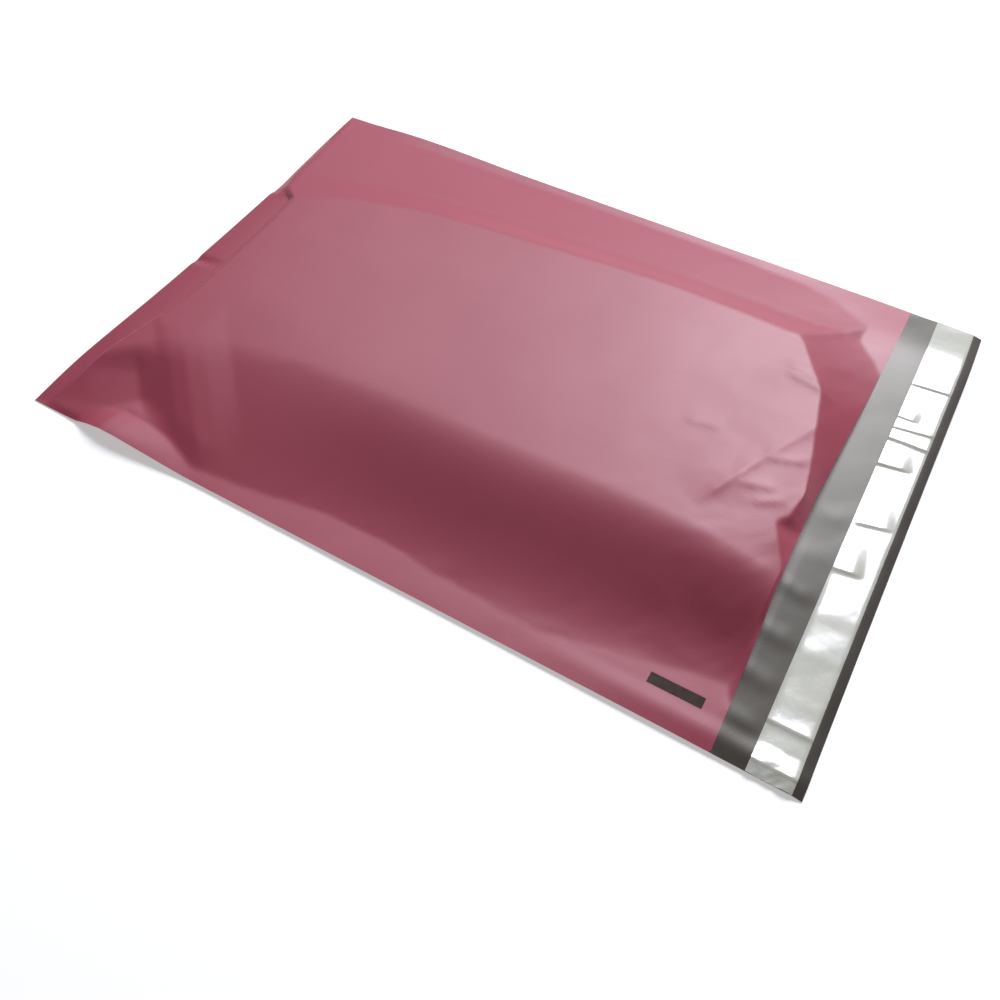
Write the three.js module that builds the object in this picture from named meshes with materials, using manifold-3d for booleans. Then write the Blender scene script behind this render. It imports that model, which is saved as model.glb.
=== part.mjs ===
// Poly mailer bag, lying on its back panel with the mouth open and the flap spread out.
// One film is folded across the bottom and welded along both sides, so front panel, fold,
// back panel and flap are a single piece. A covered line of adhesive crosses the flap.
//
// Millimetres, +Z up. The origin is the centre of the underside.
// +X runs from the bottom fold to the flap, +Y from the near side weld to the far one.

import * as THREE from 'three';
import { LoftGeometry } from 'three/addons/geometries/LoftGeometry.js';
import { mergeVertices } from 'three/addons/utils/BufferGeometryUtils.js';
import Module from 'manifold-3d';

// Film as it is cut
const flatWidth = 304.8;
const bodyLength = 393.7;
const flapLength = 40.5;
const filmThickness = 0.0635;
const sideWeldWidth = 3;

// Bottom fold: a soft loop that the welds pinch flat at both ends
const foldHeight = 7;
const foldNose = 4;
const foldTaper = 34;
const foldTipAngle = 20;

// Bulge of the front panel, measured in from the two side edges
const bulgeHeight = 22;
const marginLift = 2.5;
const nearFoot = 30;
const nearRidge = 88;
const farRidge = 74;
const farFoot = 18;
const bottomShoulder = 62;

// Mouth: the front panel stays lifted along the near ridge and sinks towards the far side
const mouthHeight = 17;
const mouthShoulder = 50;

// Closing strip on the inside of the flap
const linerSetback = 15.3;
const linerWidth = 20.5;
const linerThickness = 0.05;
const adhesiveWidth = 15;
const adhesiveThickness = 0.08;

// Steps of the lofted surfaces
const foldSteps = 3;
const slopeSteps = 6;
const plateauSteps = 5;
const lengthSteps = 4;

const filmPink = new THREE.MeshStandardMaterial({ color: 0xa9566f, roughness: 0.42, metalness: 0 });
const adhesiveClear = new THREE.MeshStandardMaterial({ color: 0xc9c6b4, roughness: 0.3, metalness: 0 });
const linerSilver = new THREE.MeshStandardMaterial({ color: 0xeef0ea, roughness: 0.16, metalness: 0 });

const wasm = await Module();
wasm.setup();

function smoothStep(from, to, value) {
  return THREE.MathUtils.smoothstep(value, from, to);
}

// A profile across the bag eases from each [place, height] to the next
function profileHeight(keys, place) {
  let height = keys[0][1];
  for (let i = 1; i < keys.length; i += 1) {
    const [start, low] = keys[i - 1];
    const [end, high] = keys[i];
    if (place >= start) {
      height = THREE.MathUtils.lerp(low, high, smoothStep(start, end, place));
    }
  }
  return height;
}

function profileLength(keys, width) {
  const samples = 2000;
  const step = width / samples;
  let length = 0;
  for (let i = 0; i < samples; i += 1) {
    const rise = profileHeight(keys, (i + 1) * step) - profileHeight(keys, i * step);
    length += Math.hypot(step, rise);
  }
  return length;
}

// Three profiles of the clear height inside the bag, for a given width of the lying bag
function bulgeProfile(width) {
  return [
    [sideWeldWidth, filmThickness],
    [nearFoot, marginLift],
    [nearRidge, bulgeHeight],
    [width - farRidge, bulgeHeight],
    [width - farFoot, marginLift],
    [width - sideWeldWidth, filmThickness],
  ];
}

function foldProfile(width) {
  return [
    [sideWeldWidth, filmThickness],
    [sideWeldWidth + foldTaper, foldHeight],
    [width - sideWeldWidth - foldTaper, foldHeight],
    [width - sideWeldWidth, filmThickness],
  ];
}

function mouthProfile(width) {
  return [
    [sideWeldWidth, filmThickness],
    [nearFoot, marginLift],
    [nearRidge, mouthHeight],
    [width - farFoot, marginLift],
    [width - sideWeldWidth, filmThickness],
  ];
}

// Film doesn't stretch, so the bulge draws the side welds in by what its slopes use up
const takeUp = profileLength(bulgeProfile(flatWidth), flatWidth) - flatWidth;
const bagWidth = flatWidth - takeUp;
const totalLength = bodyLength + flapLength;

const acrossBulge = bulgeProfile(bagWidth);
const acrossFold = foldProfile(bagWidth);
const acrossMouth = mouthProfile(bagWidth);
const noseEnd = filmThickness + foldNose;

// Clear height between the two panels, x from the bottom fold and y from the near edge
function clearHeight(x, y) {
  if (y < sideWeldWidth || y > bagWidth - sideWeldWidth) {
    return 0;
  }
  const body = profileHeight(acrossBulge, y);
  const rising = smoothStep(noseEnd, bottomShoulder, x);
  const sinking = smoothStep(bodyLength - mouthShoulder, bodyLength, x);
  const fromFold = THREE.MathUtils.lerp(profileHeight(acrossFold, y), body, rising);
  return THREE.MathUtils.lerp(fromFold, profileHeight(acrossMouth, y), sinking);
}

// How much taller than its thickness a sloping film stands
function slopeFactor(x, y) {
  const reach = 0.5;
  const inside = THREE.MathUtils.clamp(y, sideWeldWidth + reach, bagWidth - sideWeldWidth - reach);
  const alongX = (clearHeight(x + reach, inside) - clearHeight(x - reach, inside)) / (2 * reach);
  const alongY = (clearHeight(x, inside + reach) - clearHeight(x, inside - reach)) / (2 * reach);
  return Math.hypot(1, alongX, alongY);
}

function spread(from, to, steps) {
  return Array.from({ length: steps + 1 }, (_, i) => THREE.MathUtils.lerp(from, to, i / steps));
}

function joinSpreads(...spreads) {
  const places = spreads.flat();
  return places.filter((place, i) => i === 0 || place > places[i - 1]);
}

const weldToWeld = joinSpreads(
  spread(sideWeldWidth, nearFoot, lengthSteps),
  spread(nearFoot, nearRidge, slopeSteps),
  spread(nearRidge, bagWidth - farRidge, plateauSteps),
  spread(bagWidth - farRidge, bagWidth - farFoot, slopeSteps),
  spread(bagWidth - farFoot, bagWidth - sideWeldWidth, lengthSteps),
);

const alongBody = joinSpreads(
  spread(noseEnd, bottomShoulder, slopeSteps),
  spread(bottomShoulder, bodyLength - mouthShoulder, plateauSteps),
  spread(bodyLength - mouthShoulder, bodyLength, lengthSteps),
);

// One closed section of the bag: along the underside, then back over the top
function section(x, columns, underside, top) {
  const below = columns.map((y) => new THREE.Vector3(x, y, underside(y)));
  const above = columns.map((y) => new THREE.Vector3(x, y, top(y)));
  return [...below, ...above.reverse()];
}

// The space between the panels, grown by the film where grow is its thickness.
// It starts in the round nose of the bottom fold and runs out past the mouth by runOut.
function pillow(columns, grow, runOut) {
  const tip = THREE.MathUtils.degToRad(foldTipAngle);
  const noseSections = spread(tip, Math.PI / 2, foldSteps).slice(0, -1).map((angle) => {
    const x = noseEnd - (foldNose + grow) * Math.cos(angle) / Math.cos(tip);
    const middle = (y) => filmThickness + clearHeight(noseEnd, y) / 2;
    const half = (y) => (clearHeight(noseEnd, y) / 2 + grow) * Math.sin(angle);
    return section(x, columns, (y) => middle(y) - half(y), (y) => middle(y) + half(y));
  });
  const underside = () => filmThickness - grow;
  const top = (x) => (y) => filmThickness + clearHeight(x, y) + grow * slopeFactor(x, y);
  const bodySections = alongBody.map((x) => section(x, columns, underside, top(x)));
  if (runOut > 0) {
    bodySections.push(section(bodyLength + runOut, columns, underside, top(bodyLength)));
  }
  return new LoftGeometry([...noseSections, ...bodySections], { capStart: true, capEnd: true });
}

function toSolid(geometry) {
  const bare = new THREE.BufferGeometry();
  bare.setAttribute('position', geometry.attributes.position);
  bare.setIndex(geometry.index);
  const merged = mergeVertices(bare);
  return new wasm.Manifold(new wasm.Mesh({
    numProp: 3,
    vertProperties: new Float32Array(merged.attributes.position.array),
    triVerts: new Uint32Array(merged.index.array),
  }));
}

function toGeometry(solid) {
  const mesh = solid.getMesh();
  const geometry = new THREE.BufferGeometry();
  geometry.setAttribute('position', new THREE.BufferAttribute(mesh.vertProperties, 3));
  geometry.setIndex(new THREE.BufferAttribute(mesh.triVerts, 1));
  geometry.computeVertexNormals();
  return geometry;
}

// A flat strip across the full width of the bag, its underside at z = 0
function strip(length, thickness) {
  const geometry = new THREE.BoxGeometry(length, bagWidth, thickness);
  geometry.translate(length / 2, bagWidth / 2, thickness / 2);
  return geometry;
}

function makeFilmBag() {
  const cutEdges = [0, ...weldToWeld, bagWidth];
  const mouthRunOut = 1;
  const envelope = toSolid(pillow(cutEdges, filmThickness, 0));
  const pocket = toSolid(pillow(weldToWeld, 0, mouthRunOut));
  const flapOverlap = 1;
  const flap = strip(flapLength + flapOverlap, filmThickness);
  flap.translate(bodyLength - flapOverlap, 0, 0);
  const film = envelope.subtract(pocket).add(toSolid(flap));
  const mesh = new THREE.Mesh(toGeometry(film), filmPink);
  mesh.name = 'film_bag';
  return mesh;
}

function makeAdhesiveStrip() {
  const mesh = new THREE.Mesh(strip(adhesiveWidth, adhesiveThickness), adhesiveClear);
  mesh.name = 'adhesive_strip';
  const underLiner = (linerWidth - adhesiveWidth) / 2;
  mesh.position.set(bodyLength + linerSetback + underLiner, 0, filmThickness);
  return mesh;
}

function makeReleaseLiner() {
  const mesh = new THREE.Mesh(strip(linerWidth, linerThickness), linerSilver);
  mesh.name = 'release_liner';
  mesh.position.set(bodyLength + linerSetback, 0, filmThickness + adhesiveThickness);
  return mesh;
}

const mailer = new THREE.Group();
mailer.add(makeFilmBag(), makeAdhesiveStrip(), makeReleaseLiner());
mailer.position.set(-totalLength / 2, -bagWidth / 2, 0);

export default mailer;
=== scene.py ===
"""Poly mailer bag: the film, its adhesive and the release liner, as the photograph shows them.

The film is one sheet, folded across the bottom and welded along both sides. It is worked out
in millimetres, x from the bottom fold to the flap, y from the near weld to the far one.
"""
import math

import bpy
import numpy as np
from mathutils import Matrix, Vector


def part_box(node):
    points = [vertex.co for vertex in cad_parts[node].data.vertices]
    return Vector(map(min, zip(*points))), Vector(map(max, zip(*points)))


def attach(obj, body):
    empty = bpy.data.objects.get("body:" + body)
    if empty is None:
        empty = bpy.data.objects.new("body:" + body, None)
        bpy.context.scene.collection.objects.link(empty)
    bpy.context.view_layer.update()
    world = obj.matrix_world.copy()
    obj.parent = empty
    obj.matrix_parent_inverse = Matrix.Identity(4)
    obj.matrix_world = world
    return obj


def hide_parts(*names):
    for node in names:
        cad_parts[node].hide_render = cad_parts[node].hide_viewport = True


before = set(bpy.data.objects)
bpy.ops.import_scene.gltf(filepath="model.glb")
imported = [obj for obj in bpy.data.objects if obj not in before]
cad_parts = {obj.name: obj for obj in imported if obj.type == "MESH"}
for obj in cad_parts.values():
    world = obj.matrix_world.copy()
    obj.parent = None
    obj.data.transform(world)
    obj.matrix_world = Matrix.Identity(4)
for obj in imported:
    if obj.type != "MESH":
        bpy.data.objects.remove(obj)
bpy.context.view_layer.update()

MM = 0.001

# Sizes from the frame
film_low, film_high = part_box("film_bag")
liner_low, liner_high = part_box("release_liner")
adhesive_low, adhesive_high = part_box("adhesive_strip")
LENGTH = (film_high.x - film_low.x) / MM
WIDTH = (film_high.y - film_low.y) / MM
TOP = (film_high.z - film_low.z) / MM

# Sizes of the cut film and the strips
BODY_LENGTH = 393.7
FILM_THICKNESS = 0.0635
PANEL_GAP = 3 * FILM_THICKNESS
WELD_WIDTH = 3.0
ADHESIVE_THICKNESS = 0.08
LINER_THICKNESS = 0.05

# How much further out the near edge lies than in the CAD
NEAR_SPREAD = 1.7

# Dark printed bar at the near corner of the mouth, across and along the film
BAR_ACROSS = (15.4, 21.0)
BAR_ALONG = (357.0, 383.0)

# Near the fold the rows of the mesh are drawn aside: the row at the first place follows the
# crease behind the fold, and from the second place on the rows run straight
CREASE_ROW, SETTLE_ROW = 20, 60

# Steps of the meshes: how many rows and columns lead up to each place
ROW_STEPS = [(CREASE_ROW, 20), (34, 14), (SETTLE_ROW, 14), (332, 120), (BAR_ALONG[0], 20),
             (BAR_ALONG[1], 22), (BODY_LENGTH, 10)]
COLUMN_STEPS = [(WELD_WIDTH, 2), (BAR_ACROSS[0], 7), (BAR_ACROSS[1], 4), (112, 55), (228, 58),
                (WIDTH - WELD_WIDTH, 25), (WIDTH, 2)]
BACK_ROW_STRIDE = 4
FOLD_QUARTER_ROWS = 6
FLAP_ROWS = 22
LINER_ROWS = 26
LINER_COLUMNS = 400
ADHESIVE_ROWS = 10
ADHESIVE_COLUMNS = 200
SHARP_ANGLE = 60

SEED = 7


# Curves and surfaces in millimetres

def ramp(low, high, value):
    return np.clip((value - low) / (high - low), 0.0, 1.0)


def ease(low, high, value):
    t = ramp(low, high, value)
    return t * t * (3 - 2 * t)


def line(points, value):
    """Straight stretches between a few (place, height) points."""
    places, heights = zip(*points)
    return np.interp(value, places, heights)


def curve(points, value):
    """A smooth line through a few (place, height) points that never swings past them."""
    places, heights = (np.array(part, float) for part in zip(*points))
    secants = np.diff(heights) / np.diff(places)
    before, after = secants[:-1], secants[1:]
    turning = before * after <= 0
    middle = np.where(turning, 0.0, 2 * before * after / np.where(turning, 1.0, before + after))
    slopes = np.concatenate([secants[:1], middle, secants[-1:]])
    index = np.clip(np.searchsorted(places, value) - 1, 0, len(places) - 2)
    step = places[index + 1] - places[index]
    t = np.clip((value - places[index]) / step, 0.0, 1.0)
    rise = heights[index + 1] - heights[index]
    bend_in = slopes[index] * step - rise
    bend_out = rise - slopes[index + 1] * step
    return heights[index] + t * rise + t * (1 - t) * ((1 - t) * bend_in + t * bend_out)


def lower(first, second, blend):
    """The lower of two surfaces, the crease between them rounded over blend."""
    t = np.clip(0.5 + 0.5 * (second - first) / blend, 0.0, 1.0)
    return second + (first - second) * t - blend * t * (1 - t)


def beside(x, y, start, end, taper):
    """How far a place lies off a line, and the line's strength there, which fades at its ends."""
    run = np.subtract(end, start)
    length = math.hypot(*run)
    along = ((x - start[0]) * run[0] + (y - start[1]) * run[1]) / length**2
    across = ((x - start[0]) * run[1] - (y - start[1]) * run[0]) / length
    return across, ease(0, taper, along) * (1 - ease(1 - taper, 1, along))


def crease(x, y, start, end, height, right, left, taper=0.3):
    """A pinched fold: a sharp crest from start to end that sinks away to its right and left."""
    across, strength = beside(x, y, start, end, taper)
    return height * strength * np.exp(-np.abs(across) / np.where(across > 0, right, left))


def swell(x, y, start, end, height, reach, taper=0.4):
    """A soft fold from start to end."""
    across, strength = beside(x, y, start, end, taper)
    return height * strength * np.exp(-((across / reach) ** 2))


# Crumpling: heights before they repeat, and how the rows of facets wander, in cells
CRUMPLE_CELLS = 64
CRUMPLE_WANDER = 0.35
CRUMPLE_TURNS = (1.3, 1.1)


def crumple(x, y, cell, seed):
    """Flat facets between random heights, each about a cell across, from -1 to 1."""
    cells = CRUMPLE_CELLS
    heights = np.random.default_rng(seed).uniform(-1, 1, (cells, cells))
    wander = CRUMPLE_WANDER * cell
    u = (x + wander * np.sin(y / cell * CRUMPLE_TURNS[0] + seed)) / cell
    v = (y + wander * np.sin(x / cell * CRUMPLE_TURNS[1] + 2 * seed)) / cell
    row, column = np.floor(u).astype(int), np.floor(v).astype(int)
    u, v = u - row, v - column
    near = heights[row % cells, column % cells]
    far = heights[(row + 1) % cells, (column + 1) % cells]
    along = heights[(row + 1) % cells, column % cells]
    across = heights[row % cells, (column + 1) % cells]
    upper = near + u * (along - near) + v * (far - along)
    under = near + v * (across - near) + u * (far - across)
    return np.where(u > v, upper, under)


def graded(stretches):
    """Places from 0 on, with a number of even steps up to the end of each stretch."""
    places = [np.zeros(1)]
    start = 0.0
    for stop, steps in stretches:
        places.append(np.linspace(start, stop, steps + 1)[1:])
        start = stop
    return np.concatenate(places)


def straightened(rows, stride):
    """Rows of heights made straight between every stride-th row."""
    step = np.arange(len(rows))
    start = np.minimum(step // stride * stride, len(rows) - 1 - stride)
    share = ((step - start) / stride)[:, None]
    return rows[start] * (1 - share) + rows[start + stride] * share


# Form of the front panel: lines along the bag, by x

CROWN = [(0, 8.5), (27, 11.8), (60, 14.5), (100, 16.8), (150, 18.9), (200, 20.4), (260, 21.6),
         (320, TOP), (350, TOP), (393, 21.6)]
NEAR_EDGE = [(0, 0.2), (30, 0.8), (46, 5.6), (58, 5.4), (85, 2.6), (104, 0.4), (130, 0.2),
             (393, 0.2)]
NEAR_FOOT = [(0, 0.5), (36, 1), (42, 3), (55, 17), (65, 14), (85, 8), (103, 1), (130, 5),
             (180, 14), (260, 15), (320, 22), (350, 27), (393, 30)]
NEAR_FOOT_HEIGHT = [(0, 0.4), (40, 2.8), (55, 3.6), (85, 2.0), (103, 0.8), (140, 1.1),
                    (200, 1.0), (260, 1.6), (320, 2.1), (393, 2.4)]
NEAR_RIDGE = [(0, 30), (30, 54), (70, 77), (90, 80), (128, 83), (200, 87), (260, 89), (320, 90),
              (360, 88.5), (393, 83)]
NEAR_SOFTNESS = [(0, 0), (100, 0.1), (180, 0.6), (240, 1), (393, 1)]
FAR_RIDGE = [(0, 190), (81, 214), (120, 220), (170, 223), (273, 229), (345, 227), (393, 224)]
FAR_FOOT = [(0, 235), (81, 240), (120, 243), (170, 246), (273, 253), (345, 254), (393, 262)]
FAR_FOOT_HEIGHT = [(0, 6.0), (60, 9.5), (120, 11.5), (200, 12.0), (300, 11.5), (345, 10.5),
                   (393, 4.5)]
FAR_EDGE = [(0, 0.2), (40, 1.6), (80, 1.8), (134, 0.6), (393, 0.3)]
FAR_SOFTNESS = 0.3

# Run of a slope from ridge to foot: a soft one as the weights of the second, third and fourth
# power of its share, which add up to 1, and a crisp one by its sag and rounded ridge
SOFT_WEIGHTS = (3.84, -3.93, 1.09)
CRISP_SAG = 1.2
CRISP_ROUNDING = 0.06

# Bottom fold, by y: the loop's radius, how far its nose is drawn in, how far the face above it
# is puffed up, and the crease behind that face
FOLD_RADIUS = [(0, 0.1), (20, 1.2), (45, 2.1), (62, 2.5), (95, 2.7), (122, 2.7), (127, 2.1),
               (132, 2.7), (165, 2.7), (198, 2.6), (203, 1.8), (215, 1.4), (260, 0.9),
               (285, 0.5), (297, 0.1)]
FOLD_RECESS = [(0, 0), (30, 0.6), (62, 2.8), (95, 4.6), (127, 5.4), (165, 5.8), (203, 5.6),
               (230, 3.8), (265, 1.8), (297, 0)]
FOLD_PUFF = [(0, 0), (45, 0.1), (64, 0.25), (95, 0.3), (122, 0.3), (127, 0), (132, 0.3),
             (165, 0.3), (198, 0.25), (203, 0), (297, 0)]
VALLEY_PLACE = [(0, 7), (30, 11), (49, 15), (67, 20), (80, 24), (97, 26), (126, 27), (155, 27),
                (195, 25), (200, 19), (206, 14), (230, 9.5), (257, 7), (285, 5), (297, 4)]
VALLEY_HEIGHT = [(0, 0.3), (20, 2.6), (45, 5.6), (67, 7.4), (97, 8.5), (126, 8.8), (155, 8.8),
                 (195, 8.6), (206, 7.8), (230, 6.3), (257, 4.1), (285, 1.6), (297, 0.3)]
VALLEY_REACH = 5

# Folds fanned round the near bottom corner, by the distance from that corner along the
# diagonal. They fade out along x, they start within a share of the slope, hollows end short
# of the ridge, and past the ridge the rounding between fold and crown dies away
CORNER_FOLDS = [(0, 0), (31, -0.8), (57, -2.4), (75, 1.2), (84, 2.0), (94, 1.5), (108, 0),
                (125, 0)]
CORNER_FADE = (90, 130)
CORNER_START = 0.25
HOLLOW_END = 0.6
CORNER_ROUNDING = 2.5
ROUNDING_REACH = 30
LEAST_ROUNDING = 0.01

# Crease where the plateau breaks off towards the mouth, and the height and the recess of the
# mouth's lip, by y. Where the crease meets the lip, the way down keeps a least length
END_CREASE = [(87, 389), (108, 377), (114, 382), (129, 384), (143, 382), (195, 369), (228, 346),
              (263, 372), (289, 391), (297, 392)]
MOUTH_LIP = [(0, 0.3), (28, 3.6), (60, 12.0), (86, 18.4), (108, 16.5), (130, 15.5), (165, 13.5),
             (200, 10.5), (226, 7.5), (258, 4.2), (285, 1.4), (297, 0.3)]
MOUTH_RECESS = [(0, 0), (40, 1.5), (90, 4.0), (130, 4.5), (165, 3.5), (200, 2.2), (250, 0.8),
                (297, 0)]
MOUTH_REACH = 10.7
LEAST_LIP = 1

# Droop of the lifted lip at the near ridge: where it starts along x, its place and reach in y
TIP_START, TIP_PLACE, TIP_REACH, TIP_DROP = 365, 85, 22, 3.0

# Single wrinkles: start, end, height, and how far they reach to the right and the left
WRINKLES = [
    ((340, 98), (362, 146), 1.2, 3.5, 9.0), ((356, 134), (378, 176), 0.7, 3.0, 9.0),
    ((346, 199), (376, 194), 0.6, 2.0, 5.0), ((342, 206), (374, 199), 0.5, 2.0, 5.0),
    ((357, 139), (382, 149), 0.7, 2.0, 4.0), ((350, 119), (374, 126), 0.7, 2.0, 4.0),
    ((314, 143), (338, 148), 0.4, 2.0, 4.0), ((362, 112), (380, 122), 0.6, 2.0, 4.0),
    ((338, 222), (390, 286), 0.8, 5.0, 5.0),
]

# Fine crumpling: the height of the facets by x, on the near margin, which ends within the
# given y, and everywhere. Coarse and fine facets each have a size and a share
MARGIN_CRUMPLE = [(0, 0), (110, 0.1), (150, 0.2), (240, 0.3), (300, 0.4), (350, 0.35), (393, 0.3)]
MARGIN_END = (6, 32)
PLATEAU_CRUMPLE = [(0, 0.02), (250, 0.05), (320, 0.12), (350, 0.3), (393, 0.3)]
COARSE_FACET, COARSE_SHARE = 13.0, 0.75
FINE_FACET, FINE_SHARE = 6.0, 0.25


def crumpling(x, y):
    coarse, fine = crumple(x, y, COARSE_FACET, SEED), crumple(x, y, FINE_FACET, SEED + 1)
    margin = line(MARGIN_CRUMPLE, x) * (1 - ease(*MARGIN_END, y))
    return (COARSE_SHARE * coarse + FINE_SHARE * fine) * (margin + line(PLATEAU_CRUMPLE, x))


def margins(x, y):
    """The slack film between the edges and the feet of the bulge."""
    near_foot, far_foot = line(NEAR_FOOT, x), curve(FAR_FOOT, x)
    near_low, far_low = curve(NEAR_FOOT_HEIGHT, x), curve(FAR_FOOT_HEIGHT, x)
    near = line(NEAR_EDGE, x) + (near_low - line(NEAR_EDGE, x)) * ramp(0, near_foot, y)
    far = far_low + (line(FAR_EDGE, x) - far_low) * ramp(far_foot, WIDTH, y)
    return near + (far - near) * ramp(near_foot, far_foot, y)


def descent(share, softness):
    """How far a slope has come down at a share of its run, from its ridge to its foot."""
    second, third, fourth = SOFT_WEIGHTS
    soft = np.clip(share, 0, 1)
    soft = soft**2 * (second + third * soft + fourth * soft**2)
    crisp = np.clip(0.5 * (share + np.sqrt(share**2 + CRISP_ROUNDING**2)), 0, 1)
    crisp = 1 - (1 - crisp) ** CRISP_SAG
    return crisp + (soft - crisp) * softness


def bulge(x, y):
    near_foot, near_ridge = line(NEAR_FOOT, x), curve(NEAR_RIDGE, x)
    near = 1 - descent((near_ridge - y) / (near_ridge - near_foot), line(NEAR_SOFTNESS, x))
    far_ridge, far_foot = curve(FAR_RIDGE, x), curve(FAR_FOOT, x)
    far = 1 - descent((y - far_ridge) / (far_foot - far_ridge), FAR_SOFTNESS)
    tip = TIP_DROP * ramp(TIP_START, BODY_LENGTH, x) ** 2
    tip = tip * np.exp(-((y - TIP_PLACE) / TIP_REACH) ** 2)
    low = margins(x, y)
    return low + (curve(CROWN, x) - tip - low) * near * far


def corner_folds(x, y):
    """Heights and depths that the corner's folds add to the near slope."""
    diagonal = (x + y) / math.sqrt(2)
    up_slope = ramp(line(NEAR_FOOT, x), curve(NEAR_RIDGE, x), y)
    fold = line(CORNER_FOLDS, diagonal) * ease(0, CORNER_START, up_slope)
    fold = fold * (1 - ease(*CORNER_FADE, x))
    return np.where(fold < 0, fold * (1 - ease(HOLLOW_END, 1, up_slope)), fold)


def from_fold(x, y, body):
    """The face above the fold's loop, the crease behind it and the rise on to the body."""
    radius = curve(FOLD_RADIUS, y)
    crease_x, depth = curve(VALLEY_PLACE, y), curve(VALLEY_HEIGHT, y)
    up = ramp(curve(FOLD_RECESS, y) + radius, crease_x, x)
    face = 2 * radius + (depth - 2 * radius) * up + 4 * curve(FOLD_PUFF, y) * up * (1 - up)
    rise = body - (body - depth) * (1 - ramp(crease_x, crease_x + VALLEY_REACH, x)) ** 2
    return np.where(x < crease_x, face, rise)


def front_height(x, y):
    body = bulge(x, y)
    past_ridge = y - curve(NEAR_RIDGE, x)
    rounding = CORNER_ROUNDING * (1 - ease(*CORNER_FADE, x))
    rounding = rounding * (1 - ease(0, ROUNDING_REACH, past_ridge)) + LEAST_ROUNDING
    body = lower(body + corner_folds(x, y), np.maximum(body, curve(CROWN, x)), rounding)
    height = from_fold(x, y, body)
    crease_x, mouth_x = line(END_CREASE, y), BODY_LENGTH - curve(MOUTH_RECESS, y)
    sinking = np.clip((x - crease_x) / np.maximum(mouth_x - crease_x, LEAST_LIP), 0, 1)
    height = height + (curve(MOUTH_LIP, y) - height) * sinking
    for wrinkle in WRINKLES:
        height = height + crease(x, y, *wrinkle)
    return height + crumpling(x, y)


# Form of the flap and the back panel: the wave of the flap by y, its puckers with start, end,
# height and reach, the roll behind the mouth by y, and the droop along the free edge

FLAP_LINE = [(0, 0.2), (8, 1.2), (16, 0.5), (40, 0.2), (120, 0.8), (180, 2.4), (230, 4.6),
             (254, 5.4), (261, 5.2), (297, 0.2)]
FLAP_PUCKERS = [((384, 94), (411, 88), 0.45, 4.5), ((384, 67), (411, 63), 0.45, 5.0),
                ((384, 45), (411, 39), 0.45, 5.0), ((386, 112), (411, 115), 0.2, 6.0),
                ((386, 140), (410, 138), 0.2, 5.0), ((388, 22), (411, 18), 0.3, 4.0)]
FLAP_ROLL = [(0, 0), (25, 1.0), (60, 1.3), (95, 1.2), (130, 0.3), (297, 0)]
ROLL_REACH = 17
EDGE_DROOP, EDGE_REACH = 1.2, 5.0
FLAP_CRUMPLE, FLAP_FACET = 0.12, 15.0

# How far into the bag the flap's wave and roll run on, how far the lifts of the side edges
# reach in and stop short of the mouth, and where the back panel leaves the fold
WAVE_RUN, ROLL_RUN = 120, 60
LIFT_REACH = 30
BACK_START = (20, 60)


def ripple(x, y):
    """Height of the flap and the back panel above the ground."""
    waves = curve(FLAP_LINE, y) * ease(BODY_LENGTH - WAVE_RUN, BODY_LENGTH, x)
    roll = ease(BODY_LENGTH - ROLL_RUN, BODY_LENGTH, x)
    roll = roll * (1 - ramp(BODY_LENGTH, BODY_LENGTH + ROLL_REACH, x))
    droop = EDGE_DROOP * (1 - ramp(LENGTH - EDGE_REACH, LENGTH, x))
    waves = waves + curve(FLAP_ROLL, y) * roll + droop
    waves = waves + FLAP_CRUMPLE * (1 + crumple(x, y, FLAP_FACET, SEED + 2))
    for pucker in FLAP_PUCKERS:
        waves = waves + swell(x, y, *pucker)
    return waves


def back_height(x, y):
    near_lift = line(NEAR_EDGE, x) * (1 - ease(0, LIFT_REACH, y))
    far_lift = line(FAR_EDGE, x) * (1 - ease(0, LIFT_REACH, WIDTH - y))
    lift = (near_lift + far_lift) * (1 - ease(BODY_LENGTH - LIFT_REACH, BODY_LENGTH, x))
    return ripple(x, y) * ease(*BACK_START, x) + lift


def flap_rows():
    return np.linspace(BODY_LENGTH, LENGTH, FLAP_ROWS + 1)


def flap_surface(x, y):
    """Height of the flap's own mesh, straight between its points."""
    columns, rows = graded(COLUMN_STEPS), flap_rows()
    heights = ripple(rows[:, None] + 0 * columns, columns + 0 * rows[:, None])
    row = np.clip(np.searchsorted(rows, x) - 1, 0, len(rows) - 2)
    column = np.clip(np.searchsorted(columns, y) - 1, 0, len(columns) - 2)
    along = (x - rows[row]) / (rows[row + 1] - rows[row])
    across = (y - columns[column]) / (columns[column + 1] - columns[column])
    start = heights[row, column] * (1 - across) + heights[row, column + 1] * across
    end = heights[row + 1, column] * (1 - across) + heights[row + 1, column + 1] * across
    return start * (1 - along) + end * along


# Form of the release liner: tunnels where it has come away, steep on the near side, with start,
# end and height, soft waves with place, height and reach, and its crumpled near end

LINER_CREASES = [
    ((396, 198), (440, 199), 0.6), ((396, 25), (440, 26), 0.6), ((396, 6), (440, 6), 0.7),
    ((402, 238), (437, 241), 0.5), ((402, 214), (421, 214), 0.5), ((402, 205), (437, 210), 0.5),
    ((402, 179), (427, 183), 0.6), ((408, 140), (430, 145), 0.4), ((402, 110), (424, 113), 0.5),
]
LINER_STEEP, LINER_GENTLE = 0.8, 9.0
LINER_WAVES = [(87, 0.04, 4), (64, 0.04, 4), (39, 0.04, 3.5), (17, 0.03, 3)]
LINER_END_CRUMPLE, LINER_FACET = 0.45, 2.6
LINER_END = (3, 9)


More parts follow.
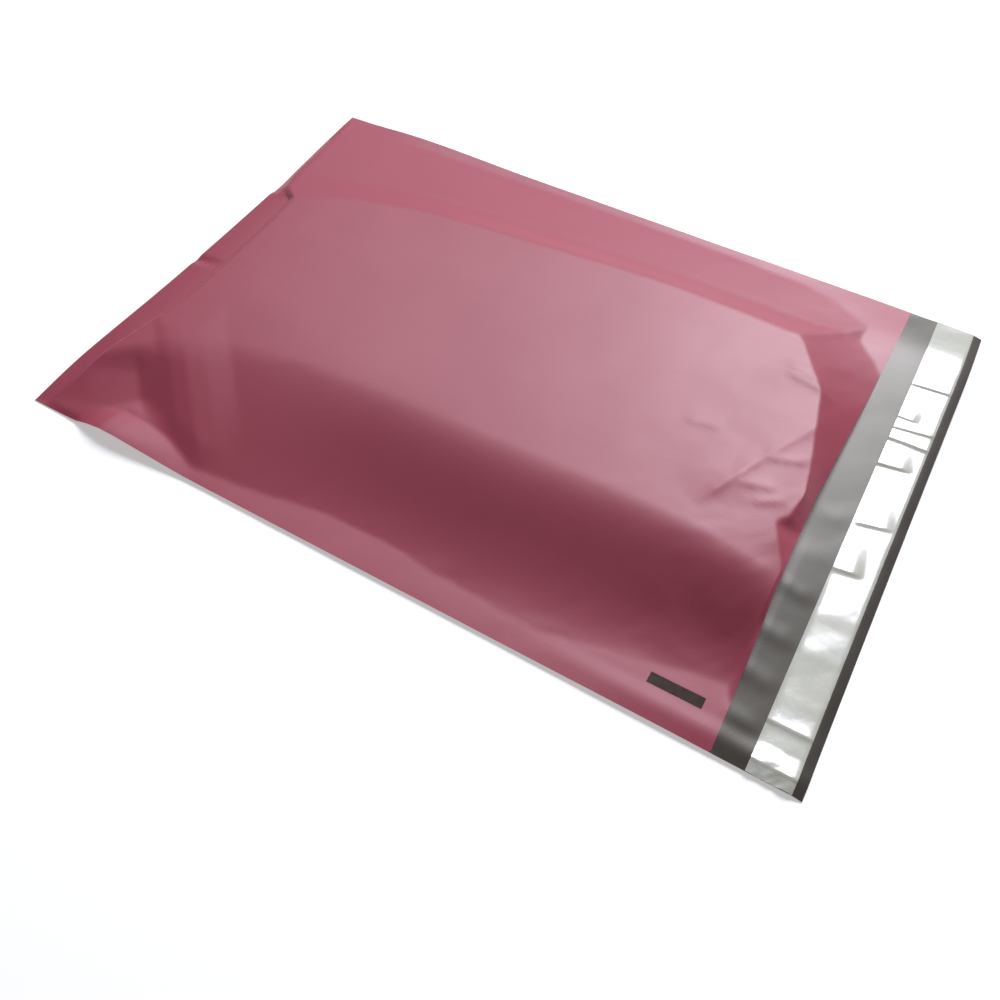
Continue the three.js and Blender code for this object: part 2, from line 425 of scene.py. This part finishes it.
def liner_crinkle(x, y):
    height = LINER_END_CRUMPLE * (1 + crumple(x, y, LINER_FACET, SEED + 3))
    height = height * (1 - ease(*LINER_END, y))
    for start, end, tall in LINER_CREASES:
        height = height + crease(x, y, start, end, tall, LINER_STEEP, LINER_GENTLE)
    for place, tall, reach in LINER_WAVES:
        height = height + tall * np.exp(-((y - place) / reach) ** 2)
    return height


def level(x, y):
    """The adhesive has no crinkles of its own."""
    return 0 * x


# Meshes

def to_frame(points):
    """Bag millimetres to metres in the frame, with the near edge spread a little further out."""
    spread = np.zeros(points.shape)
    spread[..., 1] = NEAR_SPREAD * (1 - points[..., 1] / WIDTH)
    return (points - spread) * MM + np.array([film_low.x, film_low.y, film_low.z])


def mesh_object(name, points, faces, unrolled, materials=None):
    """A mesh of the points that its faces use, with their places on the unrolled sheet."""
    flat_points = to_frame(points.reshape(-1, 3))
    flat_unrolled = unrolled.reshape(-1, 2) * MM
    used = np.unique(np.concatenate([np.array(face) for face in faces]))
    place = np.full(len(flat_points), -1)
    place[used] = np.arange(len(used))
    mesh = bpy.data.meshes.new(name)
    mesh.from_pydata(flat_points[used].tolist(), [], [place[face].tolist() for face in faces])
    layer = mesh.uv_layers.new(name="film")
    corners = np.empty(len(mesh.loops), dtype=np.int32)
    mesh.loops.foreach_get("vertex_index", corners)
    layer.data.foreach_set("uv", flat_unrolled[used][corners].ravel())
    if materials:
        mesh.polygons.foreach_set("material_index", materials)
    mesh.validate()
    piece = bpy.data.objects.new(name, mesh)
    bpy.context.scene.collection.objects.link(piece)
    return piece


def build_film():
    """Rows of film points from the mouth round the bottom fold to the flap's edge."""
    y = graded(COLUMN_STEPS)
    radius = curve(FOLD_RADIUS, y)
    recess = curve(FOLD_RECESS, y)
    crest, crease_x = recess + radius, curve(VALLEY_PLACE, y)
    places = graded(ROW_STEPS)[::-1]
    stations = [0, CREASE_ROW, SETTLE_ROW, LENGTH]
    rows_x = np.stack([np.interp(places, stations, [start, fold, SETTLE_ROW, LENGTH])
                       for start, fold in zip(crest, crease_x)], axis=1)
    rows_y = np.broadcast_to(y, rows_x.shape)
    edge = ease(0, WELD_WIDTH, np.minimum(y, WIDTH - y))[None, :]
    back_z = straightened(back_height(rows_x, rows_y), BACK_ROW_STRIDE)
    drawn_in = ramp(BODY_LENGTH - MOUTH_REACH, BODY_LENGTH, rows_x)
    front_x = rows_x - curve(MOUTH_RECESS, y) * drawn_in
    front_z = np.maximum(front_height(front_x, rows_y), back_z + PANEL_GAP)
    front_z = back_z + PANEL_GAP + (front_z - back_z - PANEL_GAP) * edge
    front = np.stack([front_x, rows_y, front_z], axis=-1)

    turns = np.linspace(90, -90, 2 * FOLD_QUARTER_ROWS + 1)[1:]
    fold = []
    for turn in np.radians(turns):
        fold_x = recess + radius * (1 - math.cos(turn))
        fold_z = radius * (1 + math.sin(turn))
        fold.append(np.stack([fold_x, y, fold_z], axis=-1))

    back = np.stack([rows_x, rows_y, back_z], axis=-1)[::-1][::BACK_ROW_STRIDE][1:]
    flap_x = flap_rows()[1:, None] + 0 * y
    flap_y = np.broadcast_to(y, flap_x.shape)
    flap = np.stack([flap_x, flap_y, ripple(flap_x, flap_y)], axis=-1)
    return front, np.array(fold), back, flap


def film_object():
    """The film as one mesh: both panels share the points of the side welds."""
    front, fold, back, flap = build_film()
    body_rows = len(front) - 1
    points = np.concatenate([front, fold, back, flap])
    rows, columns = points.shape[:2]
    index = np.arange(rows * columns).reshape(rows, columns)
    fold_rows = slice(len(front), len(front) + len(fold))
    back_start = len(front) + len(fold)
    back_stop = back_start + len(back)
    for side in (0, columns - 1):
        index[fold_rows, side] = index[body_rows, side]
        for row in range(back_start, back_stop):
            twin = body_rows - BACK_ROW_STRIDE * (row - back_start + 1)
            index[row, side] = index[twin, side]

    unrolled = np.empty((rows, columns, 2))
    unrolled[..., 0] = points[..., 1]
    unrolled[:back_start, :, 1] = points[:back_start, :, 0]
    unrolled[back_start:, :, 1] = -points[back_start:, :, 0]

    faces = []
    for row in range(rows - 1):
        for column in range(columns - 1):
            corners = [index[row, column], index[row, column + 1],
                       index[row + 1, column + 1], index[row + 1, column]]
            if back_start - 1 <= row < back_stop - 1:
                # The back has fewer rows, so its weld faces take in the front's rows between
                done = BACK_ROW_STRIDE * (row - back_start + 1)
                between = range(body_rows - done - 1, body_rows - done - BACK_ROW_STRIDE, -1)
                if column == columns - 2:
                    corners[2:2] = [index[step, columns - 1] for step in between]
                if column == 0:
                    corners += [index[step, 0] for step in reversed(between)]
            faces.append(list(dict.fromkeys(int(corner) for corner in corners)))
    faces = [face for face in faces if len(face) > 2]
    return mesh_object("film_bag_film", points, faces, unrolled, printed(faces, unrolled))


def printed(faces, unrolled):
    """Which faces of the film the printed bar covers."""
    places = unrolled.reshape(-1, 2)
    slack = 0.01
    low = np.array([BAR_ACROSS[0], BAR_ALONG[0]]) - slack
    high = np.array([BAR_ACROSS[1], BAR_ALONG[1]]) + slack
    inside = np.all((places > low) & (places < high), axis=1)
    return [int(inside[face].all()) for face in faces]


def strip_object(name, low, high, rows, columns, lift, crinkle):
    """A strip across the flap between two corners of the frame, lifted off the flap."""
    x = np.linspace((low.x - film_low.x) / MM, (high.x - film_low.x) / MM, rows + 1)
    y = np.linspace(0, WIDTH, columns + 1)
    grid_x, grid_y = np.meshgrid(x, y, indexing="ij")
    height = flap_surface(grid_x, grid_y) + lift + crinkle(grid_x, grid_y)
    points = np.stack([grid_x, grid_y, height], axis=-1)
    index = np.arange(height.size).reshape(height.shape)
    corners = np.stack([index[:-1, :-1], index[1:, :-1], index[1:, 1:], index[:-1, 1:]], axis=-1)
    return mesh_object(name, points, corners.reshape(-1, 4).tolist(), points[..., [1, 0]])


def thicken(piece, thickness, offset, materials):
    """Give a sheet its thickness, with the last material on the side that the sheet covers."""
    solid = piece.modifiers.new("thickness", "SOLIDIFY")
    solid.thickness = thickness * MM
    solid.offset = offset
    solid.use_even_offset = False
    solid.material_offset = len(materials) - 1
    for material in materials:
        piece.data.materials.append(material)
    shape = piece.evaluated_get(bpy.context.evaluated_depsgraph_get())
    mesh = bpy.data.meshes.new_from_object(shape)
    piece.modifiers.clear()
    piece.data = mesh
    mesh.shade_smooth()
    mesh.set_sharp_from_angle(angle=math.radians(SHARP_ANGLE))


# Materials

# Part of a noise's range that is spread over a ramp
NOISE_RANGE = (0.3, 0.7)


class Nodes:
    """Short way to add nodes to a material or world and join them up."""

    def __init__(self, owner, shader="Principled BSDF"):
        self.owner = owner
        self.owner.use_nodes = True
        self.tree = owner.node_tree
        self.shader = self.tree.nodes[shader]

    def add(self, kind, settings=None, **inputs):
        node = self.tree.nodes.new(kind)
        for name, value in (settings or {}).items():
            setattr(node, name, value)
        for name, value in inputs.items():
            self.join(value, node.inputs[name.replace("_", " ")])
        return node

    def join(self, value, socket):
        if isinstance(value, bpy.types.NodeSocket):
            self.tree.links.new(value, socket)
        else:
            socket.default_value = value

    def shade(self, name, value):
        self.join(value, self.shader.inputs[name])

    def math(self, operation, *values):
        node = self.tree.nodes.new("ShaderNodeMath")
        node.operation = operation
        for value, socket in zip(values, node.inputs):
            self.join(value, socket)
        return node.outputs[0]

    def noise(self, across, along, detail=3.0):
        """Noise with so many marks in a metre across and along the unrolled sheet."""
        uv = self.add("ShaderNodeUVMap", {"uv_map": "film"})
        place = self.add("ShaderNodeMapping", Vector=uv.outputs[0], Scale=(across, along, 1))
        node = self.add("ShaderNodeTexNoise", Vector=place.outputs[0], Scale=1.0, Detail=detail)
        return node.outputs["Fac"]

    def ramp(self, value, low, high, span=NOISE_RANGE):
        node = self.add("ShaderNodeMapRange", Value=value, From_Min=span[0], From_Max=span[1],
                        To_Min=low, To_Max=high)
        return node.outputs[0]

    def mix(self, factor, first, second):
        node = self.add("ShaderNodeMix", {"data_type": "RGBA"})
        for value, name in ((factor, "Factor_Float"), (first, "A_Color"), (second, "B_Color")):
            socket = next(s for s in node.inputs if s.identifier == name)
            self.join(value, socket)
        return next(s for s in node.outputs if s.identifier == "Result_Color")

    def grain(self, marks, detail, strength, depth):
        """Fine relief in the shader's normal, its depth in metres."""
        height = self.noise(marks, marks, detail)
        bump = self.add("ShaderNodeBump", Height=height, Strength=strength, Distance=depth)
        self.shade("Normal", bump.outputs[0])


WHITE = (1, 1, 1, 1)
PINK = (0.41, 0.059, 0.098, 1.0)
PINK_DEEP = (0.385, 0.053, 0.089, 1.0)
BAR_BROWN = (0.050, 0.024, 0.019, 1.0)
BAR_DEEP = (0.040, 0.018, 0.014, 1.0)
GREY = (0.062, 0.052, 0.040, 1.0)
GREY_PALE = (0.079, 0.069, 0.056, 1.0)
GREY_SHINE = (1.0, 0.98, 0.9, 1.0)
LINER_PALE = (0.76, 0.77, 0.70, 1.0)
LINER_OLIVE = (0.58, 0.58, 0.46, 1.0)
ADHESIVE = (0.55, 0.52, 0.34, 1.0)
ADHESIVE_DEEP = (0.45, 0.41, 0.25, 1.0)

# Least and greatest roughness of each surface, and how strongly it reflects
FILM_IOR, LINER_IOR = 1.64, 1.8
OUTSIDE_ROUGHNESS, OUTSIDE_SPECULAR = (0.475, 0.515), 0.57
INSIDE_ROUGHNESS, INSIDE_SPECULAR = (0.38, 0.42), 0.42
INK_ROUGHNESS, INK_SPECULAR = (0.6, 0.7), 0.3
LINER_ROUGHNESS, LINER_COAT_ROUGHNESS = (0.14, 0.22), 0.12
ADHESIVE_ROUGHNESS = (0.2, 0.35)

# Noise marks in a metre across and along the sheet, and the share of the film's streaks
OUTSIDE_CLOUDS, OUTSIDE_STREAKS = (22, 22), (700, 9)
STREAK_SHARE = 0.35
INSIDE_CLOUDS = (30, 30)
INK_CLOUDS = (250, 250)
LINER_CLOUDS = (90, 40)
ADHESIVE_CLOUDS = (120, 120)

# Fine relief: marks in a metre, detail, strength and depth in metres
OUTSIDE_GRAIN = (900, 4.0, 0.25, 0.0001)
INSIDE_GRAIN = (800, 4.0, 0.25, 0.0001)
LINER_GRAIN = (300, 3.0, 0.2, 0.0002)


def film_outside():
    nodes = Nodes(bpy.data.materials.new("pink film"))
    cloud = nodes.noise(*OUTSIDE_CLOUDS)
    streak = nodes.noise(*OUTSIDE_STREAKS, detail=2.0)
    cloud_part = nodes.math("MULTIPLY", cloud, 1 - STREAK_SHARE)
    tone = nodes.math("MULTIPLY_ADD", streak, STREAK_SHARE, cloud_part)
    nodes.shade("Base Color", nodes.mix(nodes.ramp(tone, 0, 1), PINK, PINK_DEEP))
    nodes.shade("Roughness", nodes.ramp(tone, *OUTSIDE_ROUGHNESS))
    nodes.shade("IOR", FILM_IOR)
    nodes.shade("Specular IOR Level", OUTSIDE_SPECULAR)
    nodes.grain(*OUTSIDE_GRAIN)
    return nodes.owner


def printed_bar():
    nodes = Nodes(bpy.data.materials.new("brown ink"))
    cloud = nodes.noise(*INK_CLOUDS)
    nodes.shade("Base Color", nodes.mix(nodes.ramp(cloud, 0, 1), BAR_BROWN, BAR_DEEP))
    nodes.shade("Roughness", nodes.ramp(cloud, *INK_ROUGHNESS))
    nodes.shade("Specular IOR Level", INK_SPECULAR)
    return nodes.owner


def film_inside():
    nodes = Nodes(bpy.data.materials.new("grey film inside"))
    cloud = nodes.noise(*INSIDE_CLOUDS)
    nodes.shade("Base Color", nodes.mix(nodes.ramp(cloud, 0, 1), GREY, GREY_PALE))
    nodes.shade("Roughness", nodes.ramp(cloud, *INSIDE_ROUGHNESS))
    nodes.shade("IOR", FILM_IOR)
    nodes.shade("Specular IOR Level", INSIDE_SPECULAR)
    nodes.shade("Specular Tint", GREY_SHINE)
    nodes.grain(*INSIDE_GRAIN)
    return nodes.owner


def liner_film():
    nodes = Nodes(bpy.data.materials.new("release liner"))
    cloud = nodes.noise(*LINER_CLOUDS)
    nodes.shade("Base Color", nodes.mix(nodes.ramp(cloud, 0, 1), LINER_PALE, LINER_OLIVE))
    nodes.shade("Roughness", nodes.ramp(cloud, *LINER_ROUGHNESS))
    nodes.shade("IOR", LINER_IOR)
    nodes.shade("Coat Weight", 1.0)
    nodes.shade("Coat Roughness", LINER_COAT_ROUGHNESS)
    nodes.grain(*LINER_GRAIN)
    return nodes.owner


def adhesive_glue():
    nodes = Nodes(bpy.data.materials.new("adhesive"))
    cloud = nodes.noise(*ADHESIVE_CLOUDS)
    nodes.shade("Base Color", nodes.mix(nodes.ramp(cloud, 0, 1), ADHESIVE, ADHESIVE_DEEP))
    nodes.shade("Roughness", nodes.ramp(cloud, *ADHESIVE_ROUGHNESS))
    return nodes.owner


# Pieces

film = film_object()
thicken(film, FILM_THICKNESS, -1, [film_outside(), printed_bar(), film_inside()])
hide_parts("film_bag")
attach(film, "root")

adhesive = strip_object("adhesive_strip_glue", adhesive_low, adhesive_high, ADHESIVE_ROWS,
                        ADHESIVE_COLUMNS, FILM_THICKNESS, level)
thicken(adhesive, ADHESIVE_THICKNESS, 1, [adhesive_glue()])
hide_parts("adhesive_strip")
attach(adhesive, "root")

liner = strip_object("release_liner_film", liner_low, liner_high, LINER_ROWS, LINER_COLUMNS,
                     FILM_THICKNESS + ADHESIVE_THICKNESS, liner_crinkle)
thicken(liner, LINER_THICKNESS, 1, [liner_film()])
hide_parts("release_liner")
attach(liner, "root")


# Floor, light and camera, in metres

FLOOR_SIZE = 12.0
FLOOR_WHITE = (0.86, 0.86, 0.86, 1.0)

# The floor's own glow, seen but not lighting the bag, grows to full with the distance
FLOOR_GLOW, FULL_GLOW = 0.44, 1.0
GLOW_REACH = (0.7, 2.5)


def floor_white():
    nodes = Nodes(bpy.data.materials.new("floor"))
    nodes.shade("Base Color", FLOOR_WHITE)
    nodes.shade("Roughness", 1.0)
    nodes.shade("Specular IOR Level", 0.0)
    nodes.shade("Emission Color", WHITE)
    path = nodes.add("ShaderNodeLightPath")
    seen = nodes.math("MAXIMUM", path.outputs["Is Camera Ray"], path.outputs["Is Glossy Ray"])
    seen = nodes.math("MAXIMUM", seen, path.outputs["Is Transmission Ray"])
    place = nodes.add("ShaderNodeNewGeometry").outputs["Position"]
    away = nodes.add("ShaderNodeVectorMath", {"operation": "LENGTH"}, Vector=place)
    glow = nodes.ramp(away.outputs["Value"], FLOOR_GLOW, FULL_GLOW, GLOW_REACH)
    nodes.shade("Emission Strength", nodes.math("MULTIPLY", seen, glow))
    return nodes.owner


def floor():
    half = FLOOR_SIZE / 2
    corners = [(-half, -half, 0), (half, -half, 0), (half, half, 0), (-half, half, 0)]
    mesh = bpy.data.meshes.new("floor")
    mesh.from_pydata(corners, [], [(0, 1, 2, 3)])
    mesh.materials.append(floor_white())
    piece = bpy.data.objects.new("floor", mesh)
    bpy.context.scene.collection.objects.link(piece)


# Two soft lamps on the far side: azimuth and elevation in degrees, size, power in watts
LAMP_DISTANCE = 2.2
LAMP_COLOUR = (0.97, 0.98, 1.06)
KEY = (84.5, 43.5, (0.6, 1.2), 38.7)
FILL = (118.0, 45.0, (2.0, 0.7), 22.7)


def aim(place, target, roll=0.0):
    """Matrix of a lamp or camera at place that looks at target."""
    turn = (Vector(target) - Vector(place)).to_track_quat("-Z", "Y").to_matrix().to_4x4()
    return Matrix.Translation(place) @ turn @ Matrix.Rotation(math.radians(roll), 4, "Z")


def lamp(name, azimuth, elevation, size, power):
    light = bpy.data.lights.new(name, "AREA")
    light.shape = "RECTANGLE"
    light.size, light.size_y = size
    light.energy = power
    light.color = LAMP_COLOUR
    azimuth, elevation = math.radians(azimuth), math.radians(elevation)
    away = Vector((math.cos(azimuth) * math.cos(elevation),
                   math.sin(azimuth) * math.cos(elevation), math.sin(elevation)))
    piece = bpy.data.objects.new(name, light)
    piece.matrix_world = aim(away * LAMP_DISTANCE, (0, 0, 0))
    bpy.context.scene.collection.objects.link(piece)


# The world gives a faint light, and the camera sees it as white
WORLD_GREY = (0.05, 0.05, 0.05, 1.0)


def world_light():
    nodes = Nodes(bpy.data.worlds.new("studio"), "Background")
    path = nodes.add("ShaderNodeLightPath")
    nodes.shade("Color", nodes.mix(path.outputs["Is Camera Ray"], WORLD_GREY, WHITE))
    bpy.context.scene.world = nodes.owner


# The camera stands over the near edge, beyond the mouth's corner, in the bag's millimetres.
# Its focal length is a share of the sensor's width
CAMERA_PLACE = (384.8, -157.4, 380.8)
CAMERA_AIM = (252.4, 66.9, 0.0)
CAMERA_ROLL = -0.68
CAMERA_FOCUS = 0.9205
SENSOR = 36.0
CLIP_START = 0.01


def camera():
    lens = bpy.data.cameras.new("camera")
    lens.sensor_width = SENSOR
    lens.lens = SENSOR * CAMERA_FOCUS
    lens.clip_start = CLIP_START
    piece = bpy.data.objects.new("camera", lens)
    corner = Vector((film_low.x, film_low.y, film_low.z))
    place, target = (corner + Vector(point) * MM for point in (CAMERA_PLACE, CAMERA_AIM))
    piece.matrix_world = aim(place, target, CAMERA_ROLL)
    bpy.context.scene.collection.objects.link(piece)
    bpy.context.scene.camera = piece


floor()
lamp("key", *KEY)
lamp("fill", *FILL)
world_light()
camera()
bpy.context.scene.view_settings.view_transform = "Standard"
